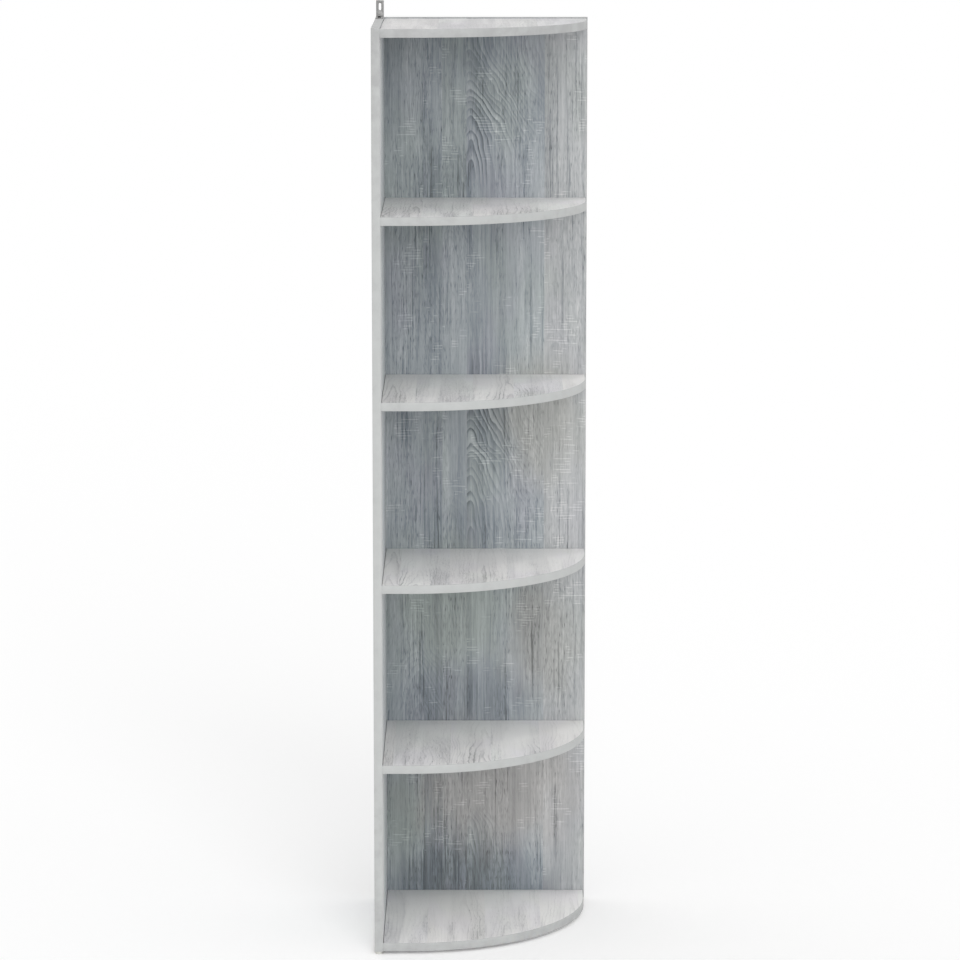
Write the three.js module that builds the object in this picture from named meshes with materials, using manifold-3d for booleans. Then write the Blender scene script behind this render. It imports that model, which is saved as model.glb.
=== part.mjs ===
// Tall open corner shelf unit: two upright panels that meet at a right angle,
// six shelves with a rounded front between them, glides underneath and a wall
// bracket on top. Millimetres. X runs along the back panel, Y runs to the rear
// and Z runs up. The origin is on the floor, in the middle of the footprint.

import * as THREE from 'three';
import { mergeVertices } from 'three/addons/utils/BufferGeometryUtils.js';
import Module from 'manifold-3d';

// Whole unit
const unitWidth = 383;
const unitDepth = 383;
const unitHeight = 1645;
const boardThickness = 15;
const glideHeight = 5;

// Shelves. The panels stand a little proud of them at the front, end and top.
const middleShelfCount = 4;
const panelProud = 2;
const cornerStraightRun = 48;
const arcSteps = 32;

// Edge strips glued on the visible edges
const bandThickness = 1;

// Clearance between a piece and the hole or strip round it, and how far cuts overrun
const fitClearance = 0.3;
const cutOverrun = 1;

// Countersunk joining screw with a hexagon socket
const screwLength = 50;
const screwHeadRadius = 5;
const screwRimHeight = 0.8;
const screwConeHeight = 3.2;
const screwShoulderRadius = 3.5;
const screwCoreRadius = 2.5;
const screwTipRadius = 1;
const screwTipLength = 3;
const screwSink = 0.3;
const socketRadius = 2.3;
const socketDepth = 2.2;
const shelfScrewInset = 80;
const screwSides = 10;
const socketSides = 6;

// Wooden dowel between the side panel and the back panel
const dowelRadius = 4;
const dowelLength = 30;
const dowelInSidePanel = 10;
const dowelChamfer = 1;
const dowelSides = 10;

// Glide under a board, held by a nail
const glideRadius = 6.5;
const glideChamfer = 0.8;
const glideSides = 20;
const glideSocketShare = 0.6;
const shelfGlideInset = 30;
const nailRadius = 1;
const nailReach = 10;
const nailTipLength = 2;
const nailSides = 8;

// Wall bracket of bent sheet steel
const bracketWidth = 14;
const bracketSheet = 1.5;
const bracketBend = 3;
const bracketRise = 30;
const bracketRun = 75;
const bracketCorner = 1.5;
const bendSteps = 4;
const slotWidth = 4.6;
const slotLength = 13;
const slotTopMargin = 5;
const slotSteps = 6;
const bracketHoleRadius = 2;

// Screw that holds the bracket down
const panScrewInset = 56;
const panHeadRadius = 2.8;
const panHeadHeight = 2.4;
const panCrownShare = 0.6;
const panShankRadius = 1.5;
const panShankLength = 22;
const panTipLength = 2;
const panSides = 10;

// Finishes
const decorBoard = { color: 0xa9adae, roughness: 0.55, metalness: 0 };
const plainBand = { color: 0xc3c4c4, roughness: 0.5, metalness: 0 };
const zincSteel = { color: 0xb4b6b8, roughness: 0.35, metalness: 0.9 };
const bracketSteel = { color: 0x999a9c, roughness: 0.45, metalness: 0.7 };
const blackSteel = { color: 0x1e1f20, roughness: 0.5, metalness: 0.6 };
const beechWood = { color: 0xc9a878, roughness: 0.7, metalness: 0 };
const paleNylon = { color: 0xdcded9, roughness: 0.45, metalness: 0 };

// Planes that the pieces line up on
const leftPlane = -unitWidth / 2;
const rightPlane = unitWidth / 2;
const frontPlane = -unitDepth / 2;
const rearPlane = unitDepth / 2;
const sideInnerPlane = leftPlane + boardThickness;
const backInnerPlane = rearPlane - boardThickness;
const sideMidPlane = leftPlane + boardThickness / 2;
const backMidPlane = rearPlane - boardThickness / 2;
const shelfFrontPlane = frontPlane + panelProud;
const shelfRightPlane = rightPlane - panelProud;
const panelBottom = glideHeight;
const lowestShelfBottom = panelBottom;
const highestShelfBottom = unitHeight - panelProud - boardThickness;
const shelfPitch = (highestShelfBottom - lowestShelfBottom) / (middleShelfCount + 1);

const arcCentreX = sideInnerPlane + cornerStraightRun;
const arcCentreY = backInnerPlane - cornerStraightRun;
const arcRadiusX = shelfRightPlane - arcCentreX;
const arcRadiusY = arcCentreY - shelfFrontPlane;

const wasm = await Module();
wasm.setup();

// Solids from three.js geometry, with shared corners merged and slivers left out
function toSolid(geometry) {
  geometry.deleteAttribute('normal');
  geometry.deleteAttribute('uv');
  const merged = mergeVertices(geometry);
  const index = merged.index.array;
  const triangles = [];
  for (let i = 0; i < index.length; i += 3) {
    const [a, b, c] = [index[i], index[i + 1], index[i + 2]];
    if (a !== b && b !== c && c !== a) {
      triangles.push(a, b, c);
    }
  }
  const mesh = new wasm.Mesh({
    numProp: 3,
    vertProperties: new Float32Array(merged.attributes.position.array),
    triVerts: new Uint32Array(triangles),
  });
  return new wasm.Manifold(mesh);
}

function toGeometry(solid) {
  const mesh = solid.getMesh();
  const geometry = new THREE.BufferGeometry();
  geometry.setAttribute('position', new THREE.BufferAttribute(mesh.vertProperties, 3));
  geometry.setIndex(new THREE.BufferAttribute(mesh.triVerts, 1));
  const faceted = geometry.toNonIndexed();
  faceted.computeVertexNormals();
  return faceted;
}

// Block between two corners
function block(low, high) {
  const size = new THREE.Vector3().subVectors(high, low);
  const middle = new THREE.Vector3().addVectors(low, high).multiplyScalar(0.5);
  const geometry = new THREE.BoxGeometry(size.x, size.y, size.z);
  geometry.translate(middle.x, middle.y, middle.z);
  return toSolid(geometry);
}

function corner(x, y, z) {
  return new THREE.Vector3(x, y, z);
}

// Turned solid on an axis that starts at a point and runs along a direction.
// Each profile entry is [radius, distance along the axis], from end to end.
function turned(profile, sides, start, direction) {
  const points = profile.map(([radius, along]) => new THREE.Vector2(radius, along));
  const geometry = new THREE.LatheGeometry(points, sides);
  const turn = new THREE.Quaternion().setFromUnitVectors(new THREE.Vector3(0, 1, 0), direction);
  geometry.applyQuaternion(turn);
  geometry.translate(start.x, start.y, start.z);
  return toSolid(geometry);
}

const intoRight = new THREE.Vector3(1, 0, 0);
const intoFront = new THREE.Vector3(0, -1, 0);
const upward = new THREE.Vector3(0, 0, 1);
const downward = new THREE.Vector3(0, 0, -1);

// Outline in the plan view, raised between two heights
function raised(points, bottom, top) {
  const geometry = new THREE.ExtrudeGeometry(new THREE.Shape(points), {
    depth: top - bottom,
    bevelEnabled: false,
  });
  geometry.translate(0, 0, bottom);
  return toSolid(geometry);
}

// Shelf front: straight beside each panel, round between, set in by a distance
function frontCurve(inset) {
  const arc = new THREE.EllipseCurve(
    arcCentreX,
    arcCentreY,
    arcRadiusX - inset,
    arcRadiusY - inset,
    -Math.PI / 2,
    0,
  );
  const start = new THREE.Vector2(sideInnerPlane, shelfFrontPlane + inset);
  const end = new THREE.Vector2(shelfRightPlane - inset, backInnerPlane);
  return [start, ...arc.getPoints(arcSteps), end];
}

// Joining screws: the screw, its stepped hole in a panel and its pilot hole in an edge
function joiningScrew(facePoint, direction) {
  const head = facePoint.clone().addScaledVector(direction, screwSink);
  const coneEnd = screwRimHeight + screwConeHeight;
  const shoulderEnd = boardThickness - screwSink;
  const body = turned(
    [
      [0, 0],
      [screwHeadRadius, 0],
      [screwHeadRadius, screwRimHeight],
      [screwShoulderRadius, coneEnd],
      [screwShoulderRadius, shoulderEnd],
      [screwCoreRadius, shoulderEnd],
      [screwCoreRadius, screwLength - screwTipLength],
      [screwTipRadius, screwLength],
      [0, screwLength],
    ],
    screwSides,
    head,
    direction,
  );
  const socketMouth = head.clone().addScaledVector(direction, -cutOverrun);
  const socketReach = cutOverrun + socketDepth;
  const socket = turned(
    [
      [0, 0],
      [socketRadius, 0],
      [socketRadius, socketReach],
      [0, socketReach],
    ],
    socketSides,
    socketMouth,
    direction,
  );
  return body.subtract(socket);
}

function panelHole(facePoint, direction) {
  const start = facePoint.clone().addScaledVector(direction, -cutOverrun);
  const rimEnd = cutOverrun + screwSink + screwRimHeight;
  const coneEnd = rimEnd + screwConeHeight;
  const farEnd = cutOverrun + boardThickness + cutOverrun;
  return turned(
    [
      [0, 0],
      [screwHeadRadius + fitClearance, 0],
      [screwHeadRadius + fitClearance, rimEnd],
      [screwShoulderRadius + fitClearance, coneEnd],
      [screwShoulderRadius + fitClearance, farEnd],
      [0, farEnd],
    ],
    screwSides,
    start,
    direction,
  );
}

function blindHole(radius, depth, sides, mouth, direction) {
  const start = mouth.clone().addScaledVector(direction, -cutOverrun);
  const reach = cutOverrun + depth;
  return turned(
    [
      [0, 0],
      [radius, 0],
      [radius, reach],
      [0, reach],
    ],
    sides,
    start,
    direction,
  );
}

function pilotHole(facePoint, direction) {
  const mouth = facePoint.clone().addScaledVector(direction, boardThickness);
  const depth = screwLength + screwSink - boardThickness + fitClearance;
  return blindHole(screwCoreRadius + fitClearance, depth, screwSides, mouth, direction);
}

// Where the joining screws enter, level by level
const shelfNames = ['bottom_shelf'];
for (let i = 1; i <= middleShelfCount; i += 1) {
  shelfNames.push(`middle_shelf_${i}`);
}
shelfNames.push('top_shelf');

const shelves = shelfNames.map((name, level) => {
  const bottom = lowestShelfBottom + level * shelfPitch;
  const middle = bottom + boardThickness / 2;
  const screws = [
    {
      name: `${name}_side_screw_front`,
      face: corner(leftPlane, shelfFrontPlane + shelfScrewInset, middle),
      direction: intoRight,
    },
    {
      name: `${name}_side_screw_rear`,
      face: corner(leftPlane, backInnerPlane - shelfScrewInset, middle),
      direction: intoRight,
    },
    {
      name: `${name}_back_screw_inner`,
      face: corner(sideInnerPlane + shelfScrewInset, rearPlane, middle),
      direction: intoFront,
    },
    {
      name: `${name}_back_screw_outer`,
      face: corner(shelfRightPlane - shelfScrewInset, rearPlane, middle),
      direction: intoFront,
    },
  ];
  return { name, bottom, screws };
});

// Between the shelves the side panel is joined to the back panel's end:
// screws and dowels take turns from one compartment to the next
const cornerScrews = [];
const cornerDowels = [];
for (let bay = 0; bay <= middleShelfCount; bay += 1) {
  const height = lowestShelfBottom + (bay + 0.5) * shelfPitch + boardThickness / 2;
  if (bay % 2 === 0) {
    cornerScrews.push({
      name: `corner_screw_${cornerScrews.length + 1}`,
      face: corner(leftPlane, backMidPlane, height),
      direction: intoRight,
    });
  } else {
    cornerDowels.push({
      name: `corner_dowel_${cornerDowels.length + 1}`,
      start: corner(sideInnerPlane - dowelInSidePanel, backMidPlane, height),
    });
  }
}

function dowel(start) {
  return turned(
    [
      [0, 0],
      [dowelRadius - dowelChamfer, 0],
      [dowelRadius, dowelChamfer],
      [dowelRadius, dowelLength - dowelChamfer],
      [dowelRadius - dowelChamfer, dowelLength],
      [0, dowelLength],
    ],
    dowelSides,
    start,
    intoRight,
  );
}

// One hole that runs from the side panel into the back panel, ends included
function dowelHole(start) {
  const reach = dowelLength + fitClearance + fitClearance;
  const low = start.clone().addScaledVector(intoRight, -fitClearance);
  return turned(
    [
      [0, 0],
      [dowelRadius + fitClearance, 0],
      [dowelRadius + fitClearance, reach],
      [0, reach],
    ],
    dowelSides,
    low,
    intoRight,
  );
}

// Glides: three under the panels and one under the round front of the bottom shelf
const shelfGlideX = arcCentreX + (arcRadiusX - shelfGlideInset) * Math.SQRT1_2;
const shelfGlideY = arcCentreY - (arcRadiusY - shelfGlideInset) * Math.SQRT1_2;
const glides = [
  { name: 'glide_side_front', x: sideMidPlane, y: frontPlane + boardThickness / 2 },
  { name: 'glide_side_rear', x: sideMidPlane, y: backMidPlane },
  { name: 'glide_back_end', x: rightPlane - boardThickness / 2, y: backMidPlane },
  { name: 'glide_shelf_front', x: shelfGlideX, y: shelfGlideY },
];
const nailSocketDepth = glideHeight * glideSocketShare;

function glide(x, y) {
  const socketRim = nailRadius + fitClearance;
  const socketFloor = glideHeight - nailSocketDepth;
  return turned(
    [
      [0, 0],
      [glideRadius - glideChamfer, 0],
      [glideRadius, glideChamfer],
      [glideRadius, glideHeight],
      [socketRim, glideHeight],
      [socketRim, socketFloor],
      [0, socketFloor],
    ],
    glideSides,
    corner(x, y, 0),
    upward,
  );
}

function glideNail(x, y) {
  const foot = glideHeight - nailSocketDepth + fitClearance;
  const length = panelBottom + nailReach - foot;
  return turned(
    [
      [0, 0],
      [nailRadius, 0],
      [nailRadius, length - nailTipLength],
      [0, length],
    ],
    nailSides,
    corner(x, y, foot),
    upward,
  );
}

function nailHole(x, y) {
  const mouth = corner(x, y, panelBottom);
  return blindHole(nailRadius + fitClearance, nailReach + fitClearance, nailSides, mouth, upward);
}

// Wall bracket: an angle drawn from the side, cut to rounded corners from the
// rear and from above, with a long hole in the upright leg
const bracketRear = rearPlane;
const bracketFront = bracketRear - bracketRun;
const bracketTop = unitHeight + bracketRise;
const panScrewY = bracketRear - panScrewInset;

function bracketAngle() {
  const shape = new THREE.Shape();
  const innerBend = bracketBend - bracketSheet;
  shape.moveTo(bracketBend, 0);
  shape.lineTo(bracketRun, 0);
  shape.lineTo(bracketRun, bracketSheet);
  shape.lineTo(bracketBend, bracketSheet);
  shape.absarc(bracketBend, bracketBend, innerBend, -Math.PI / 2, -Math.PI, true);
  shape.lineTo(bracketSheet, bracketRise);
  shape.lineTo(0, bracketRise);
  shape.lineTo(0, bracketBend);
  shape.absarc(bracketBend, bracketBend, bracketBend, Math.PI, Math.PI * 1.5, false);
  const geometry = new THREE.ExtrudeGeometry(shape, {
    depth: bracketWidth,
    bevelEnabled: false,
    curveSegments: bendSteps,
  });
  const place = new THREE.Matrix4().makeBasis(
    new THREE.Vector3(0, -1, 0),
    new THREE.Vector3(0, 0, 1),
    new THREE.Vector3(-1, 0, 0),
  );
  place.setPosition(sideMidPlane + bracketWidth / 2, bracketRear, unitHeight);
  geometry.applyMatrix4(place);
  return toSolid(geometry);
}

// Strip with two rounded corners at its far end, lying along its own length
function roundedStrip(length, depth) {
  const half = bracketWidth / 2;
  const shape = new THREE.Shape();
  shape.moveTo(-half, -cutOverrun);
  shape.lineTo(half, -cutOverrun);
  shape.lineTo(half, length - bracketCorner);
  shape.absarc(half - bracketCorner, length - bracketCorner, bracketCorner, 0, Math.PI / 2, false);
  shape.lineTo(bracketCorner - half, length);
  shape.absarc(bracketCorner - half, length - bracketCorner, bracketCorner, Math.PI / 2, Math.PI, false);
  return new THREE.ExtrudeGeometry(shape, {
    depth,
    bevelEnabled: false,
    curveSegments: bendSteps,
  });
}

function bracketSlot() {
  const half = slotWidth / 2;
  const lowCentre = bracketTop - slotTopMargin - slotLength + half;
  const highCentre = bracketTop - slotTopMargin - half;
  const shape = new THREE.Shape();
  shape.absarc(0, highCentre, half, 0, Math.PI, false);
  shape.absarc(0, lowCentre, half, Math.PI, Math.PI * 2, false);
  const geometry = new THREE.ExtrudeGeometry(shape, {
    depth: bracketSheet + cutOverrun + cutOverrun,
    bevelEnabled: false,
    curveSegments: slotSteps,
  });
  geometry.rotateX(Math.PI / 2);
  geometry.translate(sideMidPlane, bracketRear + cutOverrun, 0);
  return toSolid(geometry);
}

function wallBracket() {
  const fromRear = roundedStrip(bracketRise, bracketRun + cutOverrun + cutOverrun);
  fromRear.rotateX(Math.PI / 2);
  fromRear.translate(sideMidPlane, bracketRear + cutOverrun, unitHeight);
  const fromAbove = roundedStrip(bracketRun, bracketRise + cutOverrun + cutOverrun);
  fromAbove.rotateX(Math.PI);
  fromAbove.translate(sideMidPlane, bracketRear, bracketTop + cutOverrun);
  const holeTop = corner(sideMidPlane, panScrewY, unitHeight + bracketSheet);
  const hole = blindHole(bracketHoleRadius, bracketSheet + cutOverrun, panSides, holeTop, downward);
  return bracketAngle()
    .intersect(toSolid(fromRear))
    .intersect(toSolid(fromAbove))
    .subtract(bracketSlot())
    .subtract(hole);
}

function panScrew() {
  const seat = unitHeight + bracketSheet;
  const top = corner(sideMidPlane, panScrewY, seat + panHeadHeight);
  const shankEnd = panHeadHeight + panShankLength;
  return turned(
    [
      [0, 0],
      [panHeadRadius * panCrownShare, 0],
      [panHeadRadius, panHeadHeight * panCrownShare],
      [panHeadRadius, panHeadHeight],
      [panShankRadius, panHeadHeight],
      [panShankRadius, shankEnd - panTipLength],
      [0, shankEnd],
    ],
    panSides,
    top,
    downward,
  );
}

function panScrewHole() {
  const mouth = corner(sideMidPlane, panScrewY, unitHeight);
  const depth = panShankLength - bracketSheet + fitClearance;
  return blindHole(panShankRadius + fitClearance, depth, panSides, mouth, downward);
}

// Boards and their edge strips
function sidePanel() {
  let board = block(
    corner(leftPlane, frontPlane + bandThickness, panelBottom),
    corner(sideInnerPlane, rearPlane, unitHeight - bandThickness),
  );
  for (const shelf of shelves) {
    for (const screw of shelf.screws.filter((entry) => entry.direction === intoRight)) {
      board = board.subtract(panelHole(screw.face, screw.direction));
    }
  }
  for (const screw of cornerScrews) {
    board = board.subtract(panelHole(screw.face, screw.direction));
  }
  for (const pin of cornerDowels) {
    board = board.subtract(dowelHole(pin.start));
  }
  for (const foot of glides.filter((entry) => entry.x === sideMidPlane)) {
    board = board.subtract(nailHole(foot.x, foot.y));
  }
  return board.subtract(panScrewHole());
}

function backPanel() {
  let board = block(
    corner(sideInnerPlane, backInnerPlane, panelBottom),
    corner(rightPlane - bandThickness, rearPlane, unitHeight - bandThickness),
  );
  for (const shelf of shelves) {
    for (const screw of shelf.screws.filter((entry) => entry.direction === intoFront)) {
      board = board.subtract(panelHole(screw.face, screw.direction));
    }
  }
  for (const screw of cornerScrews) {
    board = board.subtract(pilotHole(screw.face, screw.direction));
  }
  for (const pin of cornerDowels) {
    board = board.subtract(dowelHole(pin.start));
  }
  const foot = glides.find((entry) => entry.name === 'glide_back_end');
  return board.subtract(nailHole(foot.x, foot.y));
}

function shelfBoard(shelf) {
  const backCorner = new THREE.Vector2(sideInnerPlane, backInnerPlane);
  const outline = [backCorner, ...frontCurve(bandThickness + fitClearance)];
  let board = raised(outline, shelf.bottom, shelf.bottom + boardThickness);
  for (const screw of shelf.screws) {
    board = board.subtract(pilotHole(screw.face, screw.direction));
  }
  if (shelf.name === 'bottom_shelf') {
    board = board.subtract(nailHole(shelfGlideX, shelfGlideY));
  }
  return board;
}

function shelfBand(shelf) {
  const outline = [...frontCurve(0), ...frontCurve(bandThickness).reverse()];
  return raised(outline, shelf.bottom, shelf.bottom + boardThickness);
}

function sideTopBand() {
  const strip = block(
    corner(leftPlane, frontPlane + bandThickness, unitHeight - bandThickness),
    corner(sideInnerPlane, rearPlane, unitHeight),
  );
  return strip.subtract(panScrewHole());
}

// Assembly
const unit = new THREE.Group();

function addPiece(parent, name, solid, finish) {
  const mesh = new THREE.Mesh(toGeometry(solid), new THREE.MeshStandardMaterial(finish));
  mesh.name = name;
  parent.add(mesh);
}

const panels = new THREE.Group();
addPiece(panels, 'side_panel', sidePanel(), decorBoard);
addPiece(panels, 'back_panel', backPanel(), decorBoard);
addPiece(
  panels,
  'side_panel_front_band',
  block(
    corner(leftPlane, frontPlane, panelBottom),
    corner(sideInnerPlane, frontPlane + bandThickness, unitHeight),
  ),
  plainBand,
);
addPiece(panels, 'side_panel_top_band', sideTopBand(), plainBand);
addPiece(
  panels,
  'back_panel_end_band',
  block(
    corner(rightPlane - bandThickness, backInnerPlane, panelBottom),
    corner(rightPlane, rearPlane, unitHeight),
  ),
  plainBand,
);
addPiece(
  panels,
  'back_panel_top_band',
  block(
    corner(sideInnerPlane, backInnerPlane, unitHeight - bandThickness),
    corner(rightPlane - bandThickness, rearPlane, unitHeight),
  ),
  plainBand,
);
for (const screw of cornerScrews) {
  addPiece(panels, screw.name, joiningScrew(screw.face, screw.direction), zincSteel);
}
for (const pin of cornerDowels) {
  addPiece(panels, pin.name, dowel(pin.start), beechWood);
}
unit.add(panels);

for (const shelf of shelves) {
  const level = new THREE.Group();
  addPiece(level, shelf.name, shelfBoard(shelf), decorBoard);
  addPiece(level, `${shelf.name}_front_band`, shelfBand(shelf), plainBand);
  for (const screw of shelf.screws) {
    addPiece(level, screw.name, joiningScrew(screw.face, screw.direction), zincSteel);
  }
  unit.add(level);
}

const base = new THREE.Group();
for (const foot of glides) {
  addPiece(base, foot.name, glide(foot.x, foot.y), paleNylon);
  addPiece(base, `${foot.name}_nail`, glideNail(foot.x, foot.y), zincSteel);
}
unit.add(base);

const fixing = new THREE.Group();
addPiece(fixing, 'wall_bracket', wallBracket(), bracketSteel);
addPiece(fixing, 'wall_bracket_screw', panScrew(), blackSteel);
unit.add(fixing);

export default unit;
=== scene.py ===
import bpy
from math import atan2, cos, pi, radians, sin
from mathutils import Matrix, Vector


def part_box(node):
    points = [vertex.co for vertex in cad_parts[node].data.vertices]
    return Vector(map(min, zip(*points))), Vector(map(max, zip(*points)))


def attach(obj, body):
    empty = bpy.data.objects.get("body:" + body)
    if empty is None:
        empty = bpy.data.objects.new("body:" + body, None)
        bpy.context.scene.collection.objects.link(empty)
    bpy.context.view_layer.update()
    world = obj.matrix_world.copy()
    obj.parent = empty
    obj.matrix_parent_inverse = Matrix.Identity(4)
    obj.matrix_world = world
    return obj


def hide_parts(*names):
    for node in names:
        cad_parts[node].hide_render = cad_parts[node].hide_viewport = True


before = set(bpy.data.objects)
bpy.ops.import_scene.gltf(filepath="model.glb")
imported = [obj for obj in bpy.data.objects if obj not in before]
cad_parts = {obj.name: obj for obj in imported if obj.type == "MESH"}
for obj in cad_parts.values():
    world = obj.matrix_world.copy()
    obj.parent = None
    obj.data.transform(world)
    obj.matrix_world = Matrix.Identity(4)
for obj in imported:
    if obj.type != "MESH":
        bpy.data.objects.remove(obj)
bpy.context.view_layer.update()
mm = 0.001
mergeDistance = 0.002 * mm
smoothAngle = 30  # degrees: faces that meet at less are shaded as one
hardwareAngle = 35  # the same for turned and bent pieces
roundedAngle = 40  # edges with a greater turn are rounded
midway = 0.5  # the middle of a noise or of a chance
overcut = 1 * mm  # how far a cutter stands out of the face that it goes into
rightward = Vector((1, 0, 0))
rearward = Vector((0, 1, 0))
upward = Vector((0, 0, 1))
print("frame loaded with", len(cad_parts), "nodes")


# small helpers for modelling by hand

def editMode():
    bpy.ops.object.mode_set(mode="EDIT")


def objectMode():
    bpy.ops.object.mode_set(mode="OBJECT")


def nothingSelected():
    if bpy.context.object and bpy.context.object.mode != "OBJECT":
        objectMode()
    bpy.ops.object.select_all(action="DESELECT")


def newest(name):
    piece = bpy.context.object
    piece.name = name
    piece.data.name = name
    return piece


def makeActive(piece):
    nothingSelected()
    bpy.context.view_layer.objects.active = piece
    piece.select_set(True)


def settle(piece):  # place, turn and size go into the mesh
    makeActive(piece)
    bpy.ops.object.transform_apply()


def pickAll(piece):
    makeActive(piece)
    editMode()
    bpy.ops.mesh.select_all(action="SELECT")


def pickNone(piece, kind):
    makeActive(piece)
    editMode()
    bpy.ops.mesh.select_mode(type=kind)
    bpy.ops.mesh.select_all(action="DESELECT")
    objectMode()


def pickEdges(piece, wanted):  # edit mode is on afterwards
    pickNone(piece, "EDGE")
    corners = piece.data.vertices
    for edge in piece.data.edges:
        start, end = edge.vertices
        edge.select = wanted(corners[start].co, corners[end].co)
    editMode()


def pickCorners(piece, wanted):  # edit mode is on afterwards
    pickNone(piece, "VERT")
    for corner in piece.data.vertices:
        corner.select = wanted(corner.co)
    editMode()


def roundPicked(radius, segments, kind="EDGES"):  # object mode is on afterwards
    bpy.ops.mesh.bevel(offset=radius, segments=segments, affect=kind)
    objectMode()


def extrudeUp(height):
    bpy.ops.mesh.extrude_region_move(TRANSFORM_OT_translate={"value": (0, 0, height)})


def near(first, second, slack=0.05 * mm):
    return abs(first - second) < slack


def applyModifier(piece, kind, **values):
    makeActive(piece)
    modifier = piece.modifiers.new(kind.title(), kind)
    for name, value in values.items():
        setattr(modifier, name, value)
    bpy.ops.object.modifier_apply(modifier=modifier.name)


def softenEdges(piece, width):
    applyModifier(piece, "BEVEL", width=width, segments=2, limit_method="ANGLE",
                  angle_limit=radians(roundedAngle), use_clamp_overlap=False)


def tidyShell(piece):
    pickAll(piece)
    bpy.ops.mesh.remove_doubles(threshold=mergeDistance)
    bpy.ops.mesh.normals_make_consistent(inside=False)
    objectMode()


def softShading(piece, angle=smoothAngle):
    makeActive(piece)
    bpy.ops.object.shade_smooth_by_angle(angle=radians(angle))


def copyPiece(piece, name):
    twin = piece.copy()
    twin.data = piece.data.copy()
    twin.name = name
    twin.data.name = name
    bpy.context.scene.collection.objects.link(twin)
    return twin


def joined(pieces, name):
    nothingSelected()
    for piece in pieces:
        piece.select_set(True)
    bpy.context.view_layer.objects.active = pieces[0]
    bpy.ops.object.join()
    return newest(name)


def cutAway(piece, cutter):
    applyModifier(piece, "BOOLEAN", operation="DIFFERENCE", object=cutter, solver="EXACT")
    bpy.data.objects.remove(cutter)
    tidyShell(piece)


def blockBetween(name, low, high):
    nothingSelected()
    bpy.ops.mesh.primitive_cube_add(size=1, location=(low + high) / 2)
    block = newest(name)
    block.scale = high - low
    settle(block)
    return block


def sheetBetween(name, low, high):  # flat, at the height of the low corner
    middle = (low + high) / 2
    nothingSelected()
    bpy.ops.mesh.primitive_plane_add(size=1, location=(middle.x, middle.y, low.z))
    sheet = newest(name)
    sheet.scale = (high.x - low.x, high.y - low.y, 1)
    settle(sheet)
    return sheet


def roundCutter(name, sides, radius, depth, middle=(0, 0, 0)):
    nothingSelected()
    bpy.ops.mesh.primitive_cylinder_add(vertices=sides, radius=radius, depth=depth, location=middle)
    cutter = newest(name)
    settle(cutter)
    return cutter


def turnedPiece(name, sides, outline):  # outline: radius and height pairs, from the foot up
    nothingSelected()
    radius, height = outline[0]
    bpy.ops.mesh.primitive_circle_add(
        vertices=sides, radius=radius, fill_type="NGON", location=(0, 0, height))
    turned = newest(name)
    settle(turned)
    pickAll(turned)
    for nextRadius, nextHeight in outline[1:]:
        extrudeUp(nextHeight - height)
        share = nextRadius / radius
        bpy.ops.transform.resize(value=(share, share, 1))
        radius, height = nextRadius, nextHeight
    objectMode()
    tidyShell(turned)
    return turned


def pointAlong(piece, start, direction):  # upright pieces are laid along a direction
    turn = upward.rotation_difference(direction).to_matrix().to_4x4()
    piece.matrix_world = Matrix.Translation(start) @ turn
    settle(piece)


def footOf(node):  # the middle of a node's underside
    low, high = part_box(node)
    return Vector(((low.x + high.x) / 2, (low.y + high.y) / 2, low.z))


def finishPiece(piece, node, mat):
    piece.data.materials.clear()
    piece.data.materials.append(mat)
    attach(piece, "root")
    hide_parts(node)


def standPiece(piece, node, mat):  # for turned pieces that stay upright
    softShading(piece, hardwareAngle)
    pointAlong(piece, footOf(node), upward)
    finishPiece(piece, node, mat)


# small helpers for materials

def tone(code):  # a colour as a painter picks it, turned into the linear value that nodes want
    values = [int(code[start:start + 2], 16) / 255 for start in (0, 2, 4)]
    linear = [v / 12.92 if v <= 0.04045 else ((v + 0.055) / 1.055) ** 2.4 for v in values]
    return (*linear, 1)


def grey(level):
    return (level, level, level, 1)


def newMaterial(name):
    mat = bpy.data.materials.new(name)
    mat.use_nodes = True
    return mat


def addNode(mat, kind, **values):
    node = mat.node_tree.nodes.new(kind)
    for name, value in values.items():
        setattr(node, name, value)
    return node


def plug(mat, value, socket):
    if isinstance(value, bpy.types.NodeSocket):
        mat.node_tree.links.new(value, socket)
    else:
        socket.default_value = value


def calc(mat, operation, first, second=0.0, third=0.0, clamp=False):
    node = addNode(mat, "ShaderNodeMath", operation=operation, use_clamp=clamp)
    for socket, value in zip(node.inputs, (first, second, third)):
        plug(mat, value, socket)
    return node.outputs["Value"]


def gathered(mat, x, y, z):
    node = addNode(mat, "ShaderNodeCombineXYZ")
    for socket, value in zip(node.inputs, (x, y, z)):
        plug(mat, value, socket)
    return node.outputs["Vector"]


def stretched(mat, parts, scales):
    return gathered(mat, *[calc(mat, "MULTIPLY", part, scale)
                                for part, scale in zip(parts, scales)])


def cloud(mat, place, detail=2.0, roughness=0.5, scale=1.0):
    node = addNode(mat, "ShaderNodeTexNoise")
    plug(mat, place, node.inputs["Vector"])
    node.inputs["Scale"].default_value = scale
    node.inputs["Detail"].default_value = detail
    node.inputs["Roughness"].default_value = roughness
    return node.outputs["Fac"]


def between(mat, value, low, high):  # 0 at low, 1 at high, smooth between
    node = addNode(mat, "ShaderNodeMapRange", interpolation_type="SMOOTHSTEP")
    plug(mat, value, node.inputs["Value"])
    node.inputs["From Min"].default_value = low
    node.inputs["From Max"].default_value = high
    return node.outputs["Result"]


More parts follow.
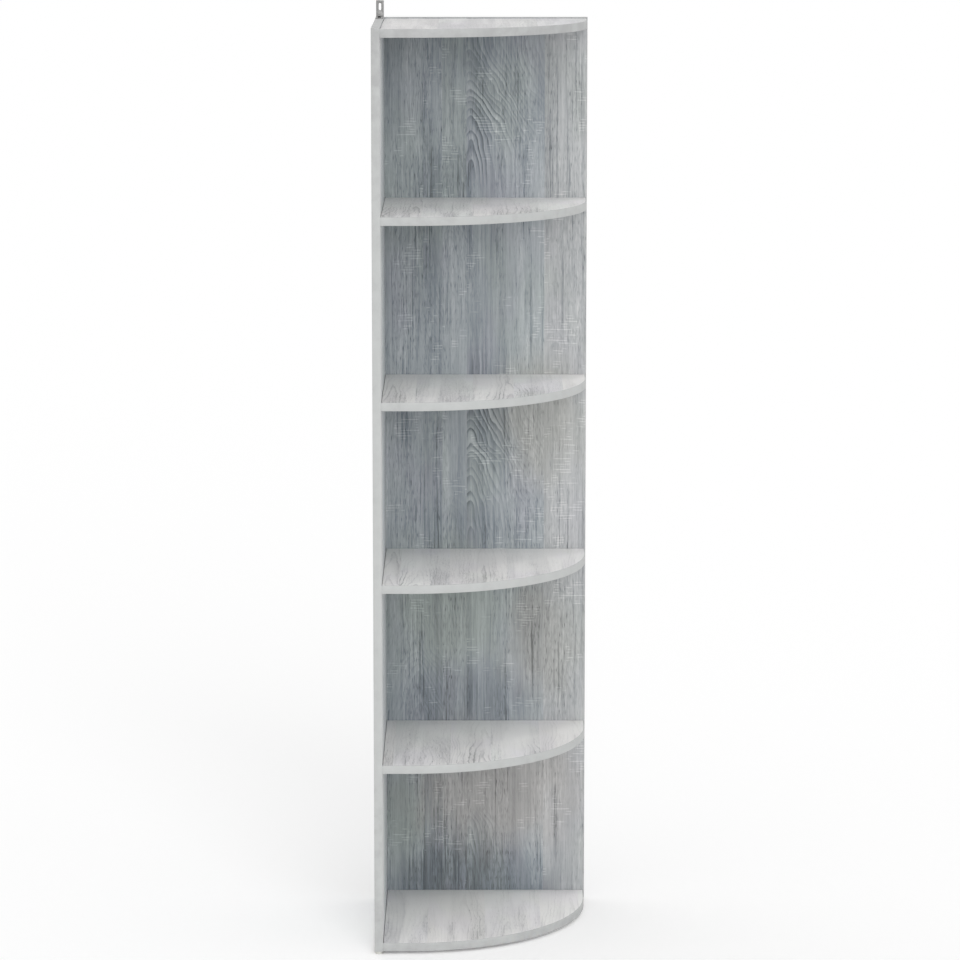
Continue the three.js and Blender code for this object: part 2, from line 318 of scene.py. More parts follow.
def ramp(mat, value, stops, interpolation="LINEAR"):
    node = addNode(mat, "ShaderNodeValToRGB")
    node.color_ramp.interpolation = interpolation
    elements = node.color_ramp.elements
    while len(elements) < len(stops):
        elements.new(0.5)
    for element, (position, colour) in zip(elements, stops):
        element.position = position
        element.color = colour
    plug(mat, value, node.inputs["Fac"])
    return node.outputs["Color"]


def toneStops(look):
    return [(position, tone(code)) for position, code in look["stops"]]


def blended(mat, share, first, second, blend="MIX"):
    node = addNode(mat, "ShaderNodeMix", data_type="RGBA", blend_type=blend)
    for socket, value in zip((0, 6, 7), (share, first, second)):  # the node's sockets for colours
        plug(mat, value, node.inputs[socket])
    return node.outputs[2]


def objectPlace(mat):
    return addNode(mat, "ShaderNodeTexCoord").outputs["Object"]


def objectAxes(mat, letters):
    split = addNode(mat, "ShaderNodeSeparateXYZ")
    plug(mat, objectPlace(mat), split.inputs["Vector"])
    return [split.outputs[letter] for letter in letters]


def surface(mat, colour, roughness, height, distance, metallic=0.0, strength=1.0):
    shader = mat.node_tree.nodes["Principled BSDF"]
    plug(mat, colour, shader.inputs["Base Color"])
    plug(mat, roughness, shader.inputs["Roughness"])
    shader.inputs["Metallic"].default_value = metallic
    bump = addNode(mat, "ShaderNodeBump")
    bump.inputs["Strength"].default_value = strength
    bump.inputs["Distance"].default_value = distance
    plug(mat, height, bump.inputs["Height"])
    plug(mat, bump.outputs["Normal"], shader.inputs["Normal"])
    return shader


# the camera stands where the photo was taken

cameraLook = {
    "place": Vector((-0.0144, -7.246, 2.018)),
    "down": 9.34,
    "toRight": 0.088,
    "lens": 153.2,
    "nearest": 0.05,
    "farthest": 60,
}
nothingSelected()
bpy.ops.object.camera_add(location=cameraLook["place"])
camera = bpy.context.object
camera.name = "camera"
camera.rotation_euler = (radians(90 - cameraLook["down"]), 0, radians(-cameraLook["toRight"]))
camera.data.lens = cameraLook["lens"]
camera.data.clip_start = cameraLook["nearest"]
camera.data.clip_end = cameraLook["farthest"]
bpy.context.scene.camera = camera
bpy.context.scene.view_settings.view_transform = "Standard"
print("camera set")


# light: an even white room, and two wide soft lights from in front

studio = {
    "roomStrength": 0.78,
    "floorSize": 400,
    "floorTone": "f2f2f2",
    "floorSeen": "ffffff",
    "floorGlow": 0.12,
    "floorRoughness": 0.9,
    "lightDistance": 4,
}
softLights = [
    {"name": "highSoftLight", "toRight": 12, "elevation": 36, "spread": 28, "strength": 0.40},
    {"name": "frontSoftLight", "toRight": 12, "elevation": 8, "spread": 28, "strength": 0.55},
]


def whiteRoom():
    world = bpy.data.worlds.new("whiteRoom")
    world.use_nodes = True
    bpy.context.scene.world = world
    nodes = world.node_tree.nodes
    light = nodes["Background"]
    seen = addNode(world, "ShaderNodeBackground")
    for background, strength in ((light, studio["roomStrength"]), (seen, 1)):
        background.inputs["Color"].default_value = grey(1)
        background.inputs["Strength"].default_value = strength
    rays = addNode(world, "ShaderNodeLightPath").outputs
    straight = calc(world, "MAXIMUM", rays["Is Camera Ray"], rays["Is Glossy Ray"])
    anyView = calc(world, "MAXIMUM", straight, rays["Is Transmission Ray"])
    choice = addNode(world, "ShaderNodeMixShader")
    for socket, value in zip(choice.inputs, (anyView, light.outputs[0], seen.outputs[0])):
        plug(world, value, socket)
    plug(world, choice.outputs["Shader"], nodes["World Output"].inputs["Surface"])


def paleFloor():
    nothingSelected()
    bpy.ops.mesh.primitive_plane_add(size=studio["floorSize"])
    floor = newest("floor")
    mat = newMaterial("paleFloor")
    shader = mat.node_tree.nodes["Principled BSDF"]
    shader.inputs["Roughness"].default_value = studio["floorRoughness"]
    shader.inputs["Specular IOR Level"].default_value = 0
    seen = addNode(mat, "ShaderNodeLightPath").outputs["Is Camera Ray"]
    seenOrLit = blended(mat, seen, tone(studio["floorTone"]), tone(studio["floorSeen"]))
    plug(mat, seenOrLit, shader.inputs["Base Color"])
    shader.inputs["Emission Color"].default_value = grey(1)
    glow = calc(mat, "MULTIPLY", seen, studio["floorGlow"])
    plug(mat, glow, shader.inputs["Emission Strength"])
    floor.data.materials.append(mat)


def softLight(settings):
    turn = radians(settings["toRight"])
    rise = radians(settings["elevation"])
    towards = Vector((sin(turn) * cos(rise), -cos(turn) * cos(rise), sin(rise)))
    nothingSelected()
    bpy.ops.object.light_add(type="SUN", location=towards * studio["lightDistance"])
    light = bpy.context.object
    light.name = settings["name"]
    light.rotation_euler = towards.to_track_quat("Z", "Y").to_euler()
    light.data.angle = radians(settings["spread"])
    light.data.energy = settings["strength"]


whiteRoom()
paleFloor()
for settings in softLights:
    softLight(settings)
print("floor and light set")


# grey oak decor, printed and embossed on the boards; some looks and zones also carry painted light and
# shade

panelOak = {
    "stops": [(0.0, "525a5f"), (0.25, "79828a"), (0.5, "9aa1a6"), (0.75, "b7bcbf"), (1.0, "d4d6d6")],
    "greenTone": "a1aaa6",
    "purpleTone": "a5a6b1",
    "warmTone": "b4b2b0",
    "tint": 0.4,
    "shade": 0.0,
    "stretch": 1.0,
    "slide": 0.0,
    "ringWidth": 0.009,
    "uneven": 1.1,
    "lineStart": 0.35,
    "ringTone": 0.24,
    "ringLine": 0.58,
    "ringGlow": 0.22,
    "heartTone": 0.04,
    "heartReach": 0.11,
    "archShares": (0.06, 0.56),
    "archTip": 0.006,
    "flameLength": 0.649,
    "hurry": 0.07,
    "wander": 0.012,
    "ripple": 1.1,
    "drift": 0.44,
    "patch": 0.0,
    "streak": 0.48,
    "thread": 0.3,
    "fleck": 0.55,
    "fibre": 0.44,
    "pore": 0.34,
    "saw": 0.24,
}
# the side panel's print, lighter all over than the back panel's print of the same board: painted light
litSideOak = {
    **panelOak,
    "stops": [(0.0, "848b8f"), (0.25, "a9afb2"), (0.5, "c5c9cb"), (0.75, "d6d8d9"), (1.0, "e7e8e8")],
}
# the shelves' print, far lighter than the panels' print of the same board: painted light on the up-facing
# faces
litShelfOak = {
    "stops": [(0.0, "a8a9aa"), (0.25, "ccccce"), (0.5, "e5e5e5"), (0.75, "efefee"), (1.0, "f7f7f6")],
    "greenTone": "c9cdca",
    "purpleTone": "cccad0",
    "warmTone": "d2cfcd",
    "tint": 0.5,
    "shade": 0.06,
    "stretch": 0.8,
    "slide": 1.37,
    "ringWidth": 0.007,
    "uneven": 0.3,
    "lineStart": 0.5,
    "ringTone": 0.1,
    "ringLine": 1.2,
    "ringGlow": 0.0,
    "heartTone": 0.0,
    "heartReach": 0.05,
    "archShares": (0.0, 1.0),
    "archTip": 0.008,
    "flameLength": 1.7,
    "hurry": 0.0,
    "wander": 0.045,
    "ripple": 2.4,
    "drift": 0.58,
    "patch": 0.3,
    "streak": 0.26,
    "thread": 0.2,
    "fleck": 0.34,
    "fibre": 0.36,
    "pore": 0.26,
    "saw": 0.06,
}
# the top shelf's print, darkened against the light that falls on it from above: painted shade; its figure
# is calmer too
shadedTopOak = {
    **litShelfOak,
    "shade": -0.2,
    "ringTone": 0.08,
    "ringLine": 0.25,
    "drift": 0.24,
    "patch": 0.12,
    "streak": 0.14,
    "thread": 0.06,
    "fleck": 0.16,
    "fibre": 0.2,
    "pore": 0.12,
}
# staves across a board, in shares of its width; tone goes from one edge of the stave to the other
backStaves = [
    {"start": 0.0, "tone": (0.51, 0.42), "heart": 0.167, "shift": 0.57, "figure": 0.18},
    {"start": 0.19, "tone": (0.34, 0.33), "heart": 0.12, "shift": 0.61, "figure": 0.25},
    {"start": 0.283, "tone": (0.46, 0.42), "heart": 0.33, "shift": 0.27, "figure": 0.15},
    {"start": 0.404, "tone": (0.38, 0.5), "heart": 0.424, "shift": 0.01, "figure": 1.0},
    {"start": 0.791, "tone": (0.57, 0.59), "heart": 0.849, "shift": 0.55, "figure": 0.18, "warmth": 0.4},
]
# on the side the tones fall stave by stave from front to rear: painted shade towards the rear corner
sideStavesShadedRearward = [
    {"start": 0.0, "tone": (0.76, 0.72), "heart": 0.9, "shift": 0.2, "figure": 0.3, "warmth": 0.2},
    {"start": 0.23, "tone": (0.66, 0.62), "heart": 0.33, "shift": 0.55, "figure": 1.0},
    {"start": 0.52, "tone": (0.49, 0.46), "heart": 0.64, "shift": 0.95, "figure": 0.5},
    {"start": 0.81, "tone": (0.36, 0.33), "heart": 0.15, "shift": 0.4, "figure": 0.3},
]
shelfStaves = [
    {"start": 0.0, "tone": (0.5, 0.5), "heart": 0.1, "shift": 0.7, "figure": 1.0, "warmth": 0.1},
    {"start": 0.24, "tone": (0.54, 0.54), "heart": 0.42, "shift": 0.35, "figure": 0.4, "warmth": 0.4},
    {"start": 0.52, "tone": (0.48, 0.5), "heart": 0.63, "shift": 0.78, "figure": 1.0, "warmth": 0.2},
    {"start": 0.8, "tone": (0.54, 0.52), "heart": 0.97, "shift": 0.45, "figure": 0.6, "warmth": 0.3},
]
# broad clouds in the print: middle and reach across and along the board; calm ones hide the rings; the
# zones that darken the foot of a compartment are partly print and partly painted shade
backZones = [
    {"at": (-0.01, 1.585), "reach": (0.045, 0.06), "shade": -0.12},
    {"at": (0.13, 1.47), "reach": (0.06, 0.17), "shade": -0.1, "calm": 0.2},
    # partly painted shade: the foot of the top compartment darker
    {"at": (-0.06, 1.36), "reach": (0.12, 0.06), "shade": -0.12},
    {"at": (-0.145, 1.25), "reach": (0.07, 0.5), "calm": 0.8},
    {"at": (0.07, 1.13), "reach": (0.09, 0.13), "calm": 0.5},
    {"at": (-0.01, 0.77), "reach": (0.06, 0.12), "calm": 0.5},
    # partly painted shade: the foot of the third compartment darker
    {"at": (-0.04, 0.7), "reach": (0.14, 0.06), "shade": -0.09},
    {"at": (-0.06, 0.565), "reach": (0.17, 0.14), "calm": 0.3, "tone": "9ba39f", "tint": 0.8},
    {"at": (-0.15, 0.16), "reach": (0.06, 0.13), "shade": -0.1, "calm": 0.5, "tone": "9ba39f", "tint": 0.8},
    {"at": (0.03, 0.22), "reach": (0.19, 0.15), "shade": -0.02, "calm": 0.9, "tone": "a6a5a4", "tint": 1.0},
    {"at": (0.11, 0.92), "reach": (0.1, 0.14), "shade": -0.02, "calm": 0.2, "tone": "a6a7a4", "tint": 0.9},
    {"at": (0.11, 0.5), "reach": (0.08, 0.13), "shade": -0.12, "calm": 0.3, "tone": "a5a6a4", "tint": 0.9},
    # partly painted shade: the foot of the lowest compartment darker, above the bottom shelf
    {"at": (-0.015, 0.015), "reach": (0.215, 0.12), "shade": -0.31, "calm": 0.8, "tone": "9aa1a8",
     "tint": 0.3},
    # partly painted shade: the foot of the fourth compartment darker
    {"at": (-0.03, 0.365), "reach": (0.15, 0.1), "shade": -0.17, "tone": "9aa0a8", "tint": 0.4},
]
# painted light and shade on the shelves: lighter at the rear, under the shelf above, and darker at the
# front
shelfPaintedLightZones = [
    {"at": (0.0, 0.19), "reach": (1.0, 0.19), "shade": 0.26},
    {"at": (0.0, -0.2), "reach": (1.0, 0.18), "shade": -0.22},
]
# noises in the wood: their scale across, along and through the board, and where they start along it;
# one with a span becomes a mask that rises between its two values
woodNoises = {
    "zoneBorder": {"scale": (16, 9, 7), "start": 5.9},
    "flameSway": {"scale": (6, 2.2, 5), "start": 11.2, "detail": 1.0},
    "flameHurry": {"scale": (5, 15, 5), "start": 17.1, "detail": 1.0},
    "heartSway": {"scale": (9, 4, 7), "start": 2.9},
    "ringRipple": {"scale": (60, 17, 30), "start": 0.0, "detail": 3.0, "roughness": 0.6},
    "ringSway": {"scale": (24, 1.2, 11), "start": 3.3, "detail": 1.0},
    "ringPatch": {"scale": (18, 5, 9), "start": 5.1, "span": (0.30, 0.64)},
    "fibreLean": {"scale": (14, 5, 9), "start": 4.8},
    "busyBand": {"scale": (34, 1.8, 14), "start": 8.1, "span": (0.36, 0.62)},
    "drift": {"scale": (30, 4.2, 14), "start": 1.3, "detail": 3.0, "roughness": 0.55},
    "patch": {"scale": (30, 3.5, 12), "start": 7.1, "detail": 1.0, "span": (0.44, 0.60)},
    "streak": {"scale": (190, 2.8, 60), "start": 2.2, "detail": 3.0, "roughness": 0.6},
    "thread": {"scale": (300, 5.0, 90), "start": 12.4, "detail": 1.0, "span": (0.57, 0.70)},
    "fleck": {"scale": (360, 34, 110), "start": 6.1, "roughness": 0.6},
    "fibre": {"scale": (800, 18, 200), "start": 3.1, "detail": 3.0, "roughness": 0.65},
    "pore": {"scale": (1100, 60, 300), "start": 4.4, "detail": 1.0, "span": (0.58, 0.70)},
    "sawSway": {"scale": (9, 5, 6), "start": 3.7},
    "sawPatch": {"scale": (20, 18, 9), "start": 6.3, "detail": 1.0, "span": (0.58, 0.63)},
    "sawBreak": {"scale": (45, 130, 30), "start": 7.7, "detail": 1.0, "span": (0.46, 0.60)},
    "greenPatch": {"scale": (10, 4, 5), "start": 8.8, "span": (0.46, 0.66)},
    "purplePatch": {"scale": (11, 5, 5), "start": 9.9, "span": (0.48, 0.68)},
}
# two numbers are the ends of a rise or fall, or a factor and what is added; four are a rise and a fall
oakFigure = {
    "zoneRagged": 0.9,
    "zoneEdge": (1.15, 0.35),
    "flameSway": 0.35,
    "growthPace": 60,
    "steadyReach": 0.04,
    "looseRings": (0.6, 0.4),
    "ringSway": 3.0,
    "line": (0.92, 0.94, 1.0),
    "pale": (0.0, 0.08, 0.12, 0.34),
    "figure": (0.0, 0.16, 0.44, 0.70),
    "figureReach": (0.12, 0.01),
    "flame": (0.0, 0.06, 0.94, 1.0),
    "ringForce": (0.8, 0.22),
    "flameChance": (0.5, 0.75),
    "patchForce": (0.75, 0.25),
    "heartEdge": (0.04, 0.01),
    "lineFleck": (1.3, 0.15),
    "lineChance": (0.8, 0.35),
    "lineMiddle": 0.1,
    "threadMiddle": 0.15,
    "poreMiddle": 0.1,
    "fibreLean": 0.006,
    "crowding": (0.95, 0.32),
    "sawPace": 1250,
    "sawSway": 16,
    "sawEdge": (-0.1, 0.9),
    "roughness": (0.16, 0.46),
    "fibreRelief": 0.5,
    "poreRelief": 0.8,
    "lineRelief": 0.4,
    "reliefDepth": 0.12 * mm,
    "reliefStrength": 0.5,
}


def staveRamps(mat, share, staves):  # tone, heart line, shift, figure and warmth across the board
    joint = 0.001  # the share of the width over which the tone changes
    traits = []
    tones = []
    warmths = []
    ends = [stave["start"] for stave in staves[1:]] + [1 + joint]
    for stave, end in zip(staves, ends):
        first, last = stave["tone"]
        traits.append((stave["start"], (stave["heart"], stave["shift"], stave["figure"], 1)))
        warmths.append((stave["start"], grey(stave.get("warmth", 0.0))))
        tones.append((stave["start"], grey(first)))
        tones.append((end - joint, grey(last)))
    split = addNode(mat, "ShaderNodeSeparateColor")
    plug(mat, ramp(mat, share, traits, "CONSTANT"), split.inputs["Color"])
    return (
        ramp(mat, share, tones),
        split.outputs["Red"],
        split.outputs["Green"],
        split.outputs["Blue"],
        ramp(mat, share, warmths, "CONSTANT"),
    )


def oakDecor(name, look, staves, axes, edgeLow, width, zones=()):
    form = oakFigure
    mat = newMaterial(name)
    across, lengthwise, through = objectAxes(mat, axes)

    def times(*parts):
        product = parts[0]
        for part in parts[1:]:
            product = calc(mat, "MULTIPLY", product, part)
        return product

    def scaled(value, factor, added=0.0):
        return calc(mat, "MULTIPLY_ADD", value, factor, added)

    def smooth(value, low, high):
        return between(mat, value, low, high)

    def window(value, start, full, ebb, end):
        return times(smooth(value, start, full), smooth(value, end, ebb))

    def moved(value, source, amount, middle=midway):  # the value moved to and fro by another
        return scaled(calc(mat, "SUBTRACT", source, middle), amount, value)

    # staves glued side by side, each from another log; each shelf is cut from another place across them
    along = times(lengthwise, look["stretch"])
    share = calc(mat, "DIVIDE", calc(mat, "SUBTRACT", across, edgeLow), width)
    share = scaled(through, look["slide"], share)
    if look["slide"]:
        share = calc(mat, "FRACT", share)
    inLog = scaled(share, width, edgeLow)
    staveTone, staveHeart, staveShift, staveFigure, staveWarmth = staveRamps(mat, share, staves)
    inward = calc(mat, "ADD", through, staveShift)

    def timber(noise, sideways=across):
        settings = woodNoises[noise]
        parts = (sideways, calc(mat, "ADD", along, settings["start"]), inward)
        grade = {key: settings[key] for key in ("detail", "roughness") if key in settings}
        value = cloud(mat, stretched(mat, parts, settings["scale"]), **grade)
        return smooth(value, *settings["span"]) if "span" in settings else value

    def drawn(number):  # a chance between 0 and 1 for each whole number in each stave
        chance = addNode(mat, "ShaderNodeTexWhiteNoise", noise_dimensions="2D")
        plug(mat, gathered(mat, number, staveShift, 0.0), chance.inputs["Vector"])
        return chance.outputs["Value"]

    # zones: a mask for each, with a ragged border
    ragged = timber("zoneBorder")
    calmness = 0.0
    # the look's shade and each zone's shade add up here: tone of the print, and painted light and shade for
    # the top shelf, the shelves' rear and front and the foot of the compartments
    toneAndPaintedShade = look["shade"]
    zoneTints = []
    for zone in zones:
        besides = [
            scaled(part, 1 / reach, -middle / reach)
            for part, middle, reach in zip((across, lengthwise), zone["at"], zone["reach"])
        ]
        far = calc(mat, "SQRT", calc(mat, "ADD", *[times(beside, beside) for beside in besides]))
        mask = smooth(moved(far, ragged, form["zoneRagged"]), *form["zoneEdge"])
        if "calm" in zone:
            calmness = scaled(mask, zone["calm"], calmness)
        if "shade" in zone:
            toneAndPaintedShade = scaled(mask, zone["shade"], toneAndPaintedShade)
        if "tint" in zone:
            zoneTints.append((times(mask, zone["tint"]), zone["tone"]))

    # growth rings: in a part of each flame the heart line sinks below the face and the rings close
    flame = scaled(along, 1 / look["flameLength"], staveShift)
    flame = moved(flame, timber("flameSway"), form["flameSway"])
    flame = moved(flame, timber("flameHurry"), look["hurry"] / look["flameLength"])
    climb = calc(mat, "FRACT", flame)
    heart = scaled(staveHeart, width, edgeLow)
    aside = calc(mat, "SUBTRACT", moved(inLog, timber("heartSway"), look["wander"]), heart)
    offHeart = calc(mat, "ABSOLUTE", aside)
    depth = times(smooth(climb, *look["archShares"]), look["heartReach"])
    rounded = calc(mat, "SQRT", scaled(aside, aside, look["archTip"] ** 2))
    radius = calc(mat, "ADD", rounded, depth)
    growth = cloud(mat, gathered(mat, times(radius, form["growthPace"]), staveShift, 0.0), 1.0)
    rings = moved(calc(mat, "DIVIDE", radius, look["ringWidth"]), growth, look["uneven"])
    loose = scaled(smooth(offHeart, 0.0, form["steadyReach"]), *form["looseRings"])
    rings = moved(rings, timber("ringRipple"), times(loose, look["ripple"]))
    rings = moved(rings, timber("ringSway"), times(loose, form["ringSway"]))
    ringPart = calc(mat, "FRACT", rings)
    ringChance = drawn(calc(mat, "FLOOR", rings))
    flameChance = drawn(calc(mat, "FLOOR", flame))
    figured = times(window(climb, *form["figure"]), smooth(offHeart, *form["figureReach"]))
    ringForce = times(
        scaled(figured, *form["ringForce"]),
        window(climb, *form["flame"]),
        scaled(flameChance, *form["flameChance"]),
        scaled(timber("ringPatch"), *form["patchForce"]),
        staveFigure,
        calc(mat, "SUBTRACT", 1.0, calmness, clamp=True),
    )

    # fibres, from wide drifts to fine flecks, and short dark pores; they crowd in some bands
    leaning = moved(across, timber("fibreLean"), form["fibreLean"])
    busy = timber("busyBand", leaning)
    crowd = scaled(busy, *form["crowding"])
    fleck = timber("fleck", leaning)
    fibre = timber("fibre", leaning)
    pore = times(timber("pore", leaning), crowd)
    thread = times(busy, timber("thread", leaning))
    crowded = times(calc(mat, "SUBTRACT", fleck, midway), crowd)

    # pale saw marks across the grain, in patches
    sawPlace = moved(times(along, form["sawPace"]), timber("sawSway"), form["sawSway"])
    sawWave = calc(mat, "SINE", sawPlace)
    sawMark = times(timber("sawPatch"), timber("sawBreak"), smooth(sawWave, *form["sawEdge"]))

    # the rings as dark lines, pale ridges and bands of their own tone
    line = times(window(ringPart, look["lineStart"], *form["line"]),
                 scaled(fleck, *form["lineFleck"]), scaled(ringChance, *form["lineChance"]), ringForce)
    glow = times(window(ringPart, *form["pale"]), fleck, ringForce)
    bands = times(calc(mat, "SUBTRACT", ringChance, midway), ringForce)
    besideHeart = times(smooth(offHeart, *form["heartEdge"]), ringForce)

    value = calc(mat, "ADD", staveTone, toneAndPaintedShade)
    for part, weight, middle in (
        (timber("drift"), look["drift"], midway),
        (timber("patch"), look["patch"], midway),
        (timber("streak", leaning), look["streak"], midway),
        (thread, -look["thread"], form["threadMiddle"]),
        (crowded, look["fleck"], 0.0),
        (fibre, look["fibre"], midway),
        (bands, look["ringTone"], 0.0),
        (line, -look["ringLine"], form["lineMiddle"]),
        (glow, look["ringGlow"], 0.0),
        (besideHeart, -look["heartTone"], 0.0),
        (pore, -look["pore"], form["poreMiddle"]),
        (sawMark, look["saw"], 0.0),
    ):
        value = moved(value, part, weight, middle)
    colour = ramp(mat, value, toneStops(look))

    # slow drifts of green and of purple in the grey, warmer staves, and the tints of the zones
    tints = [
        (times(timber("greenPatch"), look["tint"]), look["greenTone"]),
        (times(timber("purplePatch"), look["tint"]), look["purpleTone"]),
        (staveWarmth, look["warmTone"]),
    ]
    for amount, code in tints + zoneTints:
        colour = blended(mat, amount, colour, tone(code), "COLOR")

    roughness = scaled(fibre, *form["roughness"])
    relief = calc(mat, "SUBTRACT", times(fibre, form["fibreRelief"]), times(pore, form["poreRelief"]))
    relief = scaled(line, -form["lineRelief"], relief)
    surface(mat, colour, roughness, relief, form["reliefDepth"], strength=form["reliefStrength"])
    return mat


# other finishes

mottleNoise = {"detail": 3.0, "roughness": 0.6}
fineNoise = {"detail": 4.0, "roughness": 0.6}
bandLook = {
    "stops": [(0.0, "b2b3b3"), (0.35, "c0c2c1"), (0.65, "c5c7c6")],
    "mottle": (40, 40, 40),
    "grain": 1400,
    "gloss": (0.12, 0.42),
    "relief": 0.05 * mm,
    "reliefStrength": 0.4,
    # painted shade: the bands are lightest at this height and darken above and below it
    "paintedLightHeight": 0.75,
    "paintedShadeFade": 0.5,
}
zincLook = {
    "stops": [(0.3, "9c9fa4"), (0.7, "c9ccd0")],
    "mottle": (350, 350, 350),
    "noise": fineNoise,
    "gloss": (0.25, 0.22),
    "relief": 0.04 * mm,
    "metal": 1.0,
}
blackLook = {
    "stops": [(0.35, "0c0d0e"), (0.65, "1d1e1f")],
    "mottle": (900, 900, 900),
    "gloss": (0.25, 0.45),
    "relief": 0.03 * mm,
    "shine": 0.15,
}
nylonLook = {
    "stops": [(0.35, "d0d1cb"), (0.65, "dedfd9")],
    "mottle": (120, 120, 120),
    "grain": 2600,
    "gloss": (0.2, 0.38),
    "relief": 0.04 * mm,
    "reliefStrength": 0.5,
}
beechLook = {
    "stops": [(0.3, "b98f5c"), (0.7, "dbb987")],
    "mottle": (60, 900, 900),
    "roughness": 0.7,
    "relief": 0.1 * mm,
    "reliefStrength": 0.6,
}


def smoothFinish(name, look):  # a mottle gives the tone, and a fine grain or the mottle the relief
    mat = newMaterial(name)
    parts = objectAxes(mat, "XYZ")
    mottle = cloud(mat, stretched(mat, parts, look["mottle"]), **look.get("noise", mottleNoise))
    grain = cloud(mat, objectPlace(mat), scale=look["grain"]) if "grain" in look else mottle
    value = mottle
    # painted shade on the edge bands, falling off away from mid-height
    if "paintedShadeFade" in look:  # darker towards the top and the foot of the unit
        offMiddle = calc(mat, "SUBTRACT", parts[2], look["paintedLightHeight"])
        paintedFalloff = calc(mat, "MULTIPLY", calc(mat, "MULTIPLY", offMiddle, offMiddle), -look["paintedShadeFade"])
        value = calc(mat, "ADD", mottle, paintedFalloff)
    colour = ramp(mat, value, toneStops(look))
    roughness = calc(mat, "MULTIPLY_ADD", grain, *look["gloss"]) if "gloss" in look else look["roughness"]
    shader = surface(mat, colour, roughness, grain, look["relief"],
                     look.get("metal", 0.0), look.get("reliefStrength", 1.0))
    if "shine" in look:
        shader.inputs["Specular IOR Level"].default_value = look["shine"]
    return mat


chipboardLook = {
    "stops": [(0.2, "786853"), (0.5, "a69479"), (0.85, "c8b99f")],
    "chips": 520,
    "grain": 900,
    "chipShare": 0.6,
    "grainShare": 0.5,
    "roughness": 0.9,
    "relief": 0.4 * mm,
}


def chipboard():
    look = chipboardLook
    mat = newMaterial("rawChipboard")
    place = objectPlace(mat)
    chips = addNode(mat, "ShaderNodeTexVoronoi")
    chips.inputs["Scale"].default_value = look["chips"]
    plug(mat, place, chips.inputs["Vector"])
    shade = addNode(mat, "ShaderNodeSeparateColor")
    plug(mat, chips.outputs["Color"], shade.inputs["Color"])
    grain = cloud(mat, place, **fineNoise, scale=look["grain"])
    chipTone = calc(mat, "MULTIPLY", shade.outputs["Red"], look["chipShare"])
    mixed = calc(mat, "MULTIPLY_ADD", grain, look["grainShare"], chipTone)
    surface(mat, ramp(mat, mixed, toneStops(look)), look["roughness"], mixed, look["relief"])
    return mat


bracketLook = {
    "stops": [(0.35, "7c7c7c"), (0.65, "989897")],
    "rolled": (2600, 120, 120),
    "mottle": (180, 180, 180),
    "rolledShare": 0.6,
    "gloss": (0.25, 0.32),
    "relief": 0.03 * mm,
    "metal": 0.75,
}


def bracketSteel():
    look = bracketLook
    mat = newMaterial("rolledSteel")
    parts = objectAxes(mat, "XYZ")
    rolled = cloud(mat, stretched(mat, parts, look["rolled"]), **mottleNoise)
    mottle = cloud(mat, stretched(mat, parts, look["mottle"]), **mottleNoise)
    mottled = calc(mat, "MULTIPLY", mottle, 1 - look["rolledShare"])
    value = calc(mat, "MULTIPLY_ADD", rolled, look["rolledShare"], mottled)
    roughness = calc(mat, "MULTIPLY_ADD", rolled, *look["gloss"])
    colour = ramp(mat, value, toneStops(look))
    surface(mat, colour, roughness, value, look["relief"], look["metal"])
    return mat


sideLow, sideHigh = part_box("side_panel")
backLow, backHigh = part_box("back_panel")
innerX = sideHigh.x
innerY = backLow.y
shelfLow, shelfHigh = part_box("bottom_shelf_front_band")
backWidth = backHigh.x - backLow.x
sideWidth = sideHigh.y - sideLow.y
shelfWidth = shelfHigh.x - shelfLow.x

# the letters are the axes across, along and through the board
sideDecorLitAndShaded = oakDecor("oakOnSideLitAndShaded", litSideOak, sideStavesShadedRearward, "YZX", sideLow.y, sideWidth)
backDecor = oakDecor("oakOnBack", panelOak, backStaves, "XZY", backLow.x, backWidth, backZones)
shelfDecorPaintedLight = oakDecor("oakOnShelfPaintedLight", litShelfOak, shelfStaves, "XYZ", shelfLow.x, shelfWidth, shelfPaintedLightZones)
topDecorPaintedShade = oakDecor("oakOnTopPaintedShade", shadedTopOak, shelfStaves, "XYZ", shelfLow.x, shelfWidth)
rawEdge = chipboard()
bandFinish = smoothFinish("paleEdgeBand", bandLook)
zincFinish = smoothFinish("zincPlate", zincLook)
steelFinish = bracketSteel()
blackFinish = smoothFinish("blackenedSteel", blackLook)
nylonFinish = smoothFinish("mouldedNylon", nylonLook)
beechFinish = smoothFinish("beechPin", beechLook)
print("materials ready")


# joining screws, drawn upright once, then laid into every hole

joiningScrew = {
    "length": 50 * mm,
    "headRadius": 5 * mm,
    "rimHeight": 0.8 * mm,
    "coneHeight": 3.2 * mm,
    "shoulderRadius": 3.5 * mm,
    "shoulderEnd": 14.7 * mm,
    "coreRadius": 2.1 * mm,
    "threadRadius": 2.5 * mm,
    "threadPitch": 2.6 * mm,
    "valleyStart": 0.8,
    "tipRadius": 1 * mm,
    "tipLength": 3 * mm,
    "rimChamfer": 0.25 * mm,
    "socketRadius": 2.3 * mm,
    "socketDepth": 2.2 * mm,
    "socketSides": 6,
    "sink": 0.3 * mm,
    "clearance": 0.3 * mm,
    "holeDepth": 16 * mm,
    "sides": 24,
}


def addThread(outline, screw, start, end):  # whole turns, each from its valley; returns where they stop
    crestStart, crestEnd = 0.4, 0.5  # shares of the pitch
    core = screw["coreRadius"]
    crest = screw["threadRadius"]
    pitch = screw["threadPitch"]
    height = start
    while height < end:
        outline += [
            (core, height),
            (crest, height + pitch * crestStart),
            (crest, height + pitch * crestEnd),
            (core, height + pitch * screw["valleyStart"]),
        ]
        height += pitch
    return height


